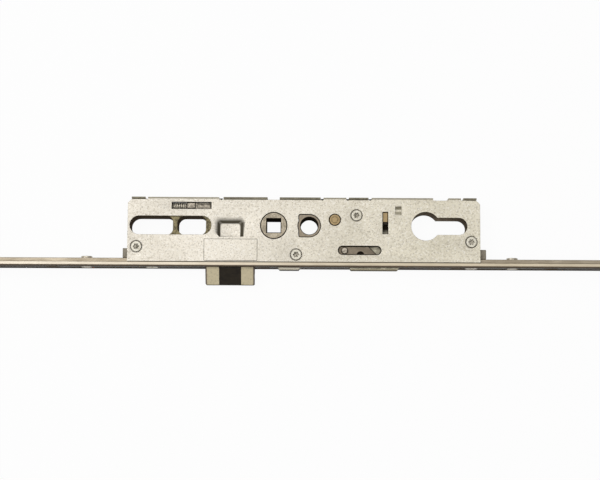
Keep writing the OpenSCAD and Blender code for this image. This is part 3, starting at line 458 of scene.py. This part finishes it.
def ease(node, width, finishes, rounds=(), paints=(), picks=anywhere, reshape=None):
    """Replaces a node by its own form with rounded edges. rounds are wider ones, made first, and paints
    give a face that passes its test the finish with that number. reshape works on the mesh before them."""
    bm = copied(node)
    if reshape:
        reshape(bm)
    for settings in rounds:
        round_edges(bm, *settings)
    round_edges(bm, width, 2, picks)
    low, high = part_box(node)
    for vert in bm.verts:
        vert.co = [min(max(vert.co[axis], low[axis]), high[axis]) for axis in range(3)]
    bm.normal_update()
    for face in bm.faces:
        point = face.calc_center_median() * 1000
        for number, test in paints:
            if test(point, face.normal):
                face.material_index = number
    piece = show(node + "_eased", bm, finishes, node)
    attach(piece, BODY_OF[node])


# Regions of the case

WHOLE = (-99, 99)
RELIEFS = (-31.9, 29.35, 44.75, 58.35)
COVER_SCREWS = [(-83.1, -13.05), (13.6, -17.6), (50.1, 6.45), (119.6, -9.5)]


def box_test(x, y, z=WHOLE):
    """A test for points inside a box."""
    return lambda p: x[0] < p.x < x[1] and y[0] < p.y < y[1] and z[0] < p.z < z[1]


in_pocket = box_test((-36.9, -15.3), (-7.6, 5.7))
in_panel = box_test((-42.7, -9.3), (-22.4, -7.7), (7.95, 9))
in_dimple = box_test((73.0, 77.9), (7.2, 11.9))
in_bar_recess = box_test((-46.8, -38.2), (11.0, 13.3), (5.3, 5.5))
WINDOWS = [
    box_test((-62.4, -37.3), (9.5, 14.6)),
    box_test((65.4, 69.7), (-5.3, 9.1)),
    box_test((38.4, 65.6), (-18.1, -11.7)),
]
# The windows' middle lines, from which their walls lean away
SPINES = [((-59.7, 12.05), (-40.0, 12.05)), ((67.55, -3.1), (67.55, 6.9)), ((41.6, -14.9), (62.4, -14.9))]


def in_window(p):
    return any(test(p) for test in WINDOWS)


def in_case(p):
    return -87.3 < p.x < 123.8 and p.y < 15.4


def in_relief(p):
    return 6.85 < p.z < 7.45 and 15.3 < p.y < 16.5 and min(abs(p.x - x) for x in RELIEFS) < 1.1


def in_recess(p):
    return min(math.dist((p.x, p.y), spot) for spot in COVER_SCREWS) < 2.3


# Forms that differ a little from the solid's

WINDOW_LEAN = 0.5
POCKET_LEFT = (-35.2, -34.26, -33.0)
POCKET_RIGHT = (-17.0, -17.94, -19.2)
POCKET_RISE = 1.8
RELIEF_HALF = 1.05
RELIEF_ENDS = (15.35, 16.45)
RELIEF_LEVELS = (6.9, 7.4)
STOP_HOLE = (52.5, -17.6)


def narrow_windows(bm):
    """Leans the walls of the windows in towards the underside."""
    for vert in bm.verts:
        p = vert.co * 1000
        if not 6.5 < p.z < 7.2:
            continue
        for test, (a, b) in zip(WINDOWS, SPINES):
            if test(p):
                near = Vector((min(max(p.x, a[0]), b[0]), min(max(p.y, a[1]), b[1]), p.z))
                vert.co += (near - p).normalized() * mm(WINDOW_LEAN)


def soften_pocket(bm):
    """Sets the pocket's side walls further in, which leaves room for a wide soft rim."""
    for vert in bm.verts:
        p = vert.co * 1000
        if p.z > 5.1 and -7.0 < p.y < 4.1:
            if abs(p.y - POCKET_RISE) < NEAR:
                vert.co.y -= mm(0.5)
            if any(abs(p.x - wall) < NEAR for wall in POCKET_LEFT):
                vert.co.x += mm(0.6)
            elif any(abs(p.x - wall) < NEAR for wall in POCKET_RIGHT):
                vert.co.x -= mm(1.1)


def shape_cover(bm):
    narrow_windows(bm)
    soften_pocket(bm)


def widen_long_hole(bm):
    """Moves the inner end of the lower long hole, which leaves a narrower web between the two."""
    for vert in bm.verts:
        p = vert.co * 1000
        if -57.2 < p.x < -52.6 and abs(p.y) < 5.75:
            vert.co.x -= mm(1.2)


def shade_reliefs(bm):
    """Dark prisms in the tray, low in the V-shaped cuts of the cover's rear bend: painted shade where the
    tray's corners lie in shadow.
    """
    for x in RELIEFS:
        corners = [(x - RELIEF_HALF, RELIEF_ENDS[1]), (x, RELIEF_ENDS[0]), (x + RELIEF_HALF, RELIEF_ENDS[1])]
        base = bm.faces.new([bm.verts.new(mm(*corner, RELIEF_LEVELS[0])) for corner in corners])
        base.normal_update()
        if base.normal.z > 0:
            base.normal_flip()
        raised = bmesh.ops.extrude_face_region(bm, geom=[base], use_keep_orig=True)["geom"]
        tops = [item for item in raised if isinstance(item, bmesh.types.BMVert)]
        bmesh.ops.translate(bm, verts=tops, vec=mm(0, 0, RELIEF_LEVELS[1] - RELIEF_LEVELS[0]))
        for item in raised:
            if isinstance(item, bmesh.types.BMFace):
                item.normal_flip()


def shape_tray(bm):
    widen_long_hole(bm)
    shade_reliefs(bm)


def fill_stop_hole(bm):
    """A dark disc low in the round hole, where the plate behind it lies in shade."""
    disc = bmesh.ops.create_circle(bm, cap_ends=True, segments=32, radius=mm(2.02))["verts"]
    bmesh.ops.translate(bm, verts=disc, vec=mm(*STOP_HOLE, 4.6))


def free_strip(bm, axis, value, test):
    """Cuts the mesh across an axis and merges the flat faces of the strip that test finds."""
    way = Vector(tuple(1.0 if number == axis else 0.0 for number in range(3)))
    bmesh.ops.bisect_plane(
        bm, geom=bm.verts[:] + bm.edges[:] + bm.faces[:], dist=mm(0.001),
        plane_co=way * mm(value), plane_no=way,
    )
    flat = [
        edge for edge in bm.edges
        if len(edge.link_faces) == 2 and edge.calc_face_angle(0.0) < 0.002 and test(middle(edge))
        and abs(middle(edge)[axis] - value) > 0.005
    ]
    bmesh.ops.dissolve_edges(bm, edges=flat, use_verts=True)


def free_front_edges(bm):
    """Clears the strips along the faceplate's front edges, so that their rounding runs unbroken."""
    for side in (-1, 1):
        free_strip(bm, 2, 7.0 * side, lambda p: p.z * side > 7.0 and p.y < -24.9)
        free_strip(bm, 1, -24.0, lambda p: p.z * side > 7.9 and p.y < -24.0)


# A face stands on edge where its normal's Z share is below this
STANDING = 0.96
# Painted shade on standing sides, and on those of rims
SIDES_SHADED = (1, lambda p, n: abs(n.z) < STANDING)
RIM_SHADED = (1, lambda p, n: abs(n.z) < STANDING and abs(p.z) > 7)
FRONT_NOSE = (1, lambda p, n: n.y < -0.6)
PIN_AT = (37, 3.7)

ease(
    "case_cover", 0.15,
    ["zinc", "zinc_pressed_shade", "sheared_edge_and_shade", "gap", "zinc_bend_shade", "inner_zinc_shade", "finger_edge_and_shade"],
    reshape=shape_cover,
    rounds=[
        (1.4, 5, lambda p: in_pocket(p) and 5.5 < p.z < 7.6 and p.y > -5.5, True),
        (0.5, 3, lambda p: in_pocket(p) and 5.0 < p.z < 5.4 and p.y > -6.5, True),
        (1.7, 6, lambda p: in_pocket(p) and p.z > 7.95 and p.y > -6.5),
        (0.34, 2, in_panel),
    ],
    # Painted shade on the pocket's and panel's slopes, hole and window walls, rear bend, dimple, panel side
    # and underside
    paints=[
        (4, lambda p, n: p.y > 15.6 and 0.1 < n.z < 0.97 and p.z > 6.5),
        (2, lambda p, n: abs(n.z) < 0.75 and p.z > 6.7 and in_case(p)),
        (3, lambda p, n: in_window(p) and abs(n.z) < 0.97),
        (1, lambda p, n: (in_pocket(p) or in_panel(p)) and p.z > 5 and n.z < 0.999),
        (6, lambda p, n: in_panel(p) and n.x > 0.3),
        (6, lambda p, n: in_dimple(p) and p.z > 7 and n.y < -0.2),
        (4, lambda p, n: in_dimple(p) and p.z > 7 and n.y > 0.2),
        (5, lambda p, n: n.z < -0.9 and p.z > 4),
    ],
)
ease(
    "case_tray", 0.18, ["zinc", "sheared_edge_and_shade", "finger_edge_and_shade", "gap", "inner_zinc_shade"], reshape=shape_tray,
    picks=lambda p: not in_relief(p),
    # Painted shade on the holes' low walls, the rear edges, the V-cut fillers and the inner floor; the
    # finger tops are raw cut edges
    paints=[
        (1, lambda p, n: abs(n.z) < 0.4 and p.z < -6.7 and in_case(p)),
        (2, lambda p, n: n.z > 0.3 and p.z > 6.3),
        (3, lambda p, n: n.z < 0.9 and p.z > 7.3 and p.y > 14),
        (4, lambda p, n: n.z > 0.9 and p.z < -6.0),
        (3, lambda p, n: in_relief(p)),
    ],
)
ease(
    "faceplate", 0.1, ["strip_steel", "strip_front"], reshape=free_front_edges,
    rounds=[(0.5, 3, lambda p: p.y < -24.9 and abs(p.z) > 7.9)], picks=lambda p: abs(p.z) < 7.4,
    paints=[(1, lambda p, n: n.y < -0.98 and p.y < -24.9)],
)
ease("drive_rail", 0.3, ["rail_steel"])
ease(
    "slot_block", 0.3, ["cast_zinc", "lug_zinc"], reshape=widen_long_hole,
    paints=[(1, lambda p, n: p.x < -88.2)],
)
ease("end_block", 0.3, ["cast_zinc", "lug_zinc"], paints=[(1, lambda p, n: p.x > 124.6)])
ease("follower", 0.5, ["follower_steel", "gap"], picks=lambda p: abs(p.z) > 7.9, paints=[RIM_SHADED])
ease("handle_bush", 0.4, ["bush_steel", "gap"], paints=[RIM_SHADED])
ease(
    "lever_pin", 0.2, ["pin_brass", "gap"],
    # Painted shade on the pin's outer sides
    paints=[(1, lambda p, n: abs(n.z) < STANDING and math.dist((p.x, p.y), PIN_AT) > 2.8)],
)
ease("lever_nib", 0.3, ["pin_brass", "gap"], paints=[SIDES_SHADED])
ease(
    "stop_plate", 0.35, ["plate_steel", "gap"], reshape=fill_stop_hole, picks=lambda p: p.z > 4.5,
    paints=[SIDES_SHADED, (1, lambda p, n: 4.55 < p.z < 4.65)],
)
ease("stop_pin", 0.45, ["bar_steel", "gap"], paints=[SIDES_SHADED])
ease(
    "return_bar", 0.3, ["bar_steel", "gap"], picks=lambda p: p.z > 5.6 or in_bar_recess(p),
    paints=[SIDES_SHADED],
)
ease("latch_bolt", 0.25, ["latch_steel", "nose"], paints=[(1, lambda p, n: n.y < -0.8)])
ease("latch_insert", 0.2, ["black_nylon"])
ease("deadbolt", 0.3, ["bolt_steel", "nose"], paints=[FRONT_NOSE])
ease("latch_snib", 0.15, ["snib_steel", "nose"], paints=[FRONT_NOSE])
ease(
    "cover_screws", 0.12, ["screw_zinc", "gap", "recess_shade"],
    rounds=[(0.35, 2, lambda p: p.z > 7.9 and not in_recess(p))],
    # Painted shade on the heads' rims and in their recesses
    paints=[
        (1, lambda p, n: n.z < 0.96 and not in_recess(p)),
        (2, lambda p, n: in_recess(p) and 5 < p.z < 7.95),
    ],
)
ease("faceplate_screws", 0.12, ["rivet_zinc"])
ease("guide_rivets", 0.15, ["rivet_zinc"])
for kind, width in (("stud", 0.2), ("roller", 0.35)):
    for end in ("upper", "lower"):
        ease(f"cam_{kind}_{end}", width, ["roller_steel"])

# Springs, wound from round wire. Their sizes are in millimetres

WIRE_SIDES = 12
TURN_STEPS = 24
CLOSED_TURNS = 1.0
# The rise of a closed turn, in radii of the wire
CLOSED_RISE = 2.05
ORIGIN = (0, 0, 0)
LATCH_SIDES = (-8.2, 8.2)
RETURN_AT = (12.1, 4)
LEVER_COIL = 5.3
LEVER_WIRE = 0.35
LEVER_TURNS = 3.5
LEVER_LEGS = (15.1, 8.3)


def wire_end(bm, wire, where):
    """A ring of wire with its centre at where, with its edges."""
    ring = bmesh.ops.create_circle(bm, segments=WIRE_SIDES, radius=mm(wire))["verts"]
    bmesh.ops.translate(bm, verts=ring, vec=mm(*where))
    return ring + list({edge for vert in ring for edge in vert.link_edges})


def wind(bm, ring, turns, length):
    """Carries a ring of wire round the X axis, length millimetres along it."""
    steps = round(turns * TURN_STEPS)
    made = bmesh.ops.spin(
        bm, geom=ring, cent=ORIGIN, axis=(1, 0, 0), dvec=mm(length / steps, 0, 0),
        angle=math.radians(360 * turns), steps=steps, use_duplicate=False,
    )
    return made["geom_last"]


def draw_out(bm, ring, way):
    """Carries a ring of wire straight along way."""
    edges = [item for item in ring if isinstance(item, bmesh.types.BMEdge)]
    made = bmesh.ops.extrude_edge_only(bm, edges=edges)["geom"]
    new = [item for item in made if isinstance(item, bmesh.types.BMVert)]
    bmesh.ops.translate(bm, verts=new, vec=way)
    kept = set(new)
    return new + [
        item for item in made
        if isinstance(item, bmesh.types.BMEdge) and item.verts[0] in kept and item.verts[1] in kept
    ]


def close_wire(bm):
    bmesh.ops.holes_fill(bm, edges=bm.edges, sides=0)
    bmesh.ops.recalc_face_normals(bm, faces=bm.faces)


def wire_coil(length, radius, wire, turns):
    """A coil along +X from x = 0, with closed turns at both ends, where the wire lies against itself."""
    bm = bmesh.new()
    ring = wire_end(bm, wire, (wire, radius, 0))
    closed = CLOSED_TURNS * CLOSED_RISE * wire
    for part_turns, part_length in (
        (CLOSED_TURNS, closed),
        (turns - 2 * CLOSED_TURNS, length - 2 * wire - 2 * closed),
        (CLOSED_TURNS, closed),
    ):
        ring = wind(bm, ring, part_turns, part_length)
    close_wire(bm)
    return bm


def place_mesh(bm, turn, where):
    bmesh.ops.transform(bm, verts=bm.verts, matrix=Matrix.Translation(mm(*where)) @ turn)


low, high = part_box("latch_springs")
latch_mid = (low.x + high.x) * 500
latch_length = (high.y - low.y) * 1000
bm = bmesh.new()
for side in LATCH_SIDES:
    coil = wire_coil(latch_length, radius=1.85, wire=0.25, turns=11)
    place_mesh(coil, Matrix.Rotation(math.pi / 2, 4, "Z"), (latch_mid + side, low.y * 1000, 0))
    mesh = bpy.data.meshes.new("coil")
    coil.to_mesh(mesh)
    coil.free()
    bm.from_mesh(mesh)
    bpy.data.meshes.remove(mesh)
spring = show("latch_springs_wound", bm, ["spring_wire"], "latch_springs")
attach(spring, "frame")
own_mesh(spring)

low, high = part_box("return_spring")
return_length = (high.x - low.x) * 1000
bm = wire_coil(return_length, radius=1.75, wire=0.35, turns=28)
place_mesh(bm, Matrix.Identity(4), (low.x * 1000, *RETURN_AT))
spring = show("return_spring_wound", bm, ["spring_wire"], "return_spring")
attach(spring, "frame")
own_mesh(spring)

low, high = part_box("lever_spring")
bm = bmesh.new()
ring = wire_end(bm, LEVER_WIRE, (LEVER_WIRE, LEVER_COIL, -LEVER_LEGS[0]))
ring = draw_out(bm, ring, mm(0, 0, LEVER_LEGS[0]))
ring = wind(bm, ring, LEVER_TURNS, (high.z - low.z) * 1000 - 2 * LEVER_WIRE)
draw_out(bm, ring, mm(0, 0, -LEVER_LEGS[1]))
close_wire(bm)
place_mesh(bm, Matrix.Rotation(-math.pi / 2, 4, "Y"), (*PIN_AT, low.z * 1000))
spring = show("lever_spring_wound", bm, ["spring_wire"], "lever_spring")
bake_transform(spring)

# Floor and light

WHITE = (1.0, 1.0, 1.0, 1.0)
FLOOR_REACH = 6.0
FLOOR_GAP = mm(0.02)
PAPER_GREY = 0.8
PAPER_SEEN_WHITE = 0.95
WORLD_LIGHT = 0.2

floor_mesh = bpy.data.meshes.new("floor")
bm = bmesh.new()
bmesh.ops.create_grid(bm, x_segments=1, y_segments=1, size=FLOOR_REACH)
bmesh.ops.translate(bm, verts=bm.verts, vec=(0, 0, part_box("case_tray")[0].z - FLOOR_GAP))
bm.to_mesh(floor_mesh)
bm.free()
floor = bpy.data.objects.new("floor", floor_mesh)
scene.collection.objects.link(floor)


def seen_share(tree, share):
    """The share, where the camera, a mirror or glass looks at the surface."""
    path = add_node(tree, "ShaderNodeLightPath")
    seen = path.outputs["Is Camera Ray"]
    for other in ("Is Glossy Ray", "Is Transmission Ray"):
        seen = calculated(tree, "MAXIMUM", seen, path.outputs[other])
    return calculated(tree, "MULTIPLY", seen, share)


def floor_paper():
    """White paper: the camera and mirrors see it white, and it keeps a soft share of the shadow."""
    made = bpy.data.materials.new("floor_paper")
    made.use_nodes = True
    tree = made.node_tree
    tree.nodes.clear()
    matt = add_node(tree, "ShaderNodeBsdfDiffuse", {"Color": (PAPER_GREY, PAPER_GREY, PAPER_GREY, 1.0)})
    white = add_node(tree, "ShaderNodeEmission", {"Color": WHITE, "Strength": 1.0})
    mix = add_node(
        tree, "ShaderNodeMixShader",
        {0: seen_share(tree, PAPER_SEEN_WHITE), 1: matt.outputs[0], 2: white.outputs[0]},
    )
    add_node(tree, "ShaderNodeOutputMaterial", {"Surface": mix.outputs[0]})
    return made


def studio():
    """A world that lights softly from all round, and that the camera sees white."""
    made = bpy.data.worlds.new("studio")
    made.use_nodes = True
    tree = made.node_tree
    soft = tree.nodes["Background"]
    soft.inputs["Color"].default_value = WHITE
    soft.inputs["Strength"].default_value = WORLD_LIGHT
    white = add_node(tree, "ShaderNodeBackground", {"Color": WHITE, "Strength": 1.0})
    path = add_node(tree, "ShaderNodeLightPath")
    mix = add_node(
        tree, "ShaderNodeMixShader",
        {0: path.outputs["Is Camera Ray"], 1: soft.outputs[0], 2: white.outputs[0]},
    )
    tree.links.new(mix.outputs[0], tree.nodes["World Output"].inputs["Surface"])
    return made


def softbox(name, place, aim, width, power):
    lamp = bpy.data.lights.new(name, "AREA")
    lamp.shape = "SQUARE"
    lamp.size = width
    lamp.energy = power
    holder = bpy.data.objects.new(name, lamp)
    holder.location = place
    holder.rotation_mode = "QUATERNION"
    holder.rotation_quaternion = (Vector(aim) - Vector(place)).to_track_quat("-Z", "Y")
    scene.collection.objects.link(holder)


floor_mesh.materials.append(floor_paper())
scene.world = studio()
softbox("key_light", place=(-0.75, 0.35, 1.3), aim=(0, 0, 0), width=0.8, power=8.0)
softbox("top_light", place=(0.0, -0.1, 1.6), aim=(0, -0.1, 0), width=1.7, power=13.0)

# Camera, at the photograph's angle, a metre above the lock

TILT = math.radians(7.2)
ROLL = math.radians(0.29)
AIM = mm(15.94, -7.77, 0)
REACH = 1.0
SENSOR = 36.0
IMAGE_WIDTH = 600.0
FOCAL_PIXELS = 1641.0

back = Vector((0, -math.sin(TILT), math.cos(TILT)))
right = Vector((1, 0, 0))
up = back.cross(right)
side = right * math.cos(ROLL) + up * math.sin(ROLL)
rise = up * math.cos(ROLL) - right * math.sin(ROLL)
lens = bpy.data.cameras.new("photo_camera")
lens.sensor_width = SENSOR
lens.lens = FOCAL_PIXELS * SENSOR / IMAGE_WIDTH
lens.clip_start = 0.05
lens.clip_end = 20
camera = bpy.data.objects.new("photo_camera", lens)
scene.collection.objects.link(camera)
turn = Matrix((side, rise, back)).transposed().to_4x4()
camera.matrix_world = Matrix.Translation(AIM + back * REACH) @ turn
scene.camera = camera
scene.view_settings.view_transform = "Standard"
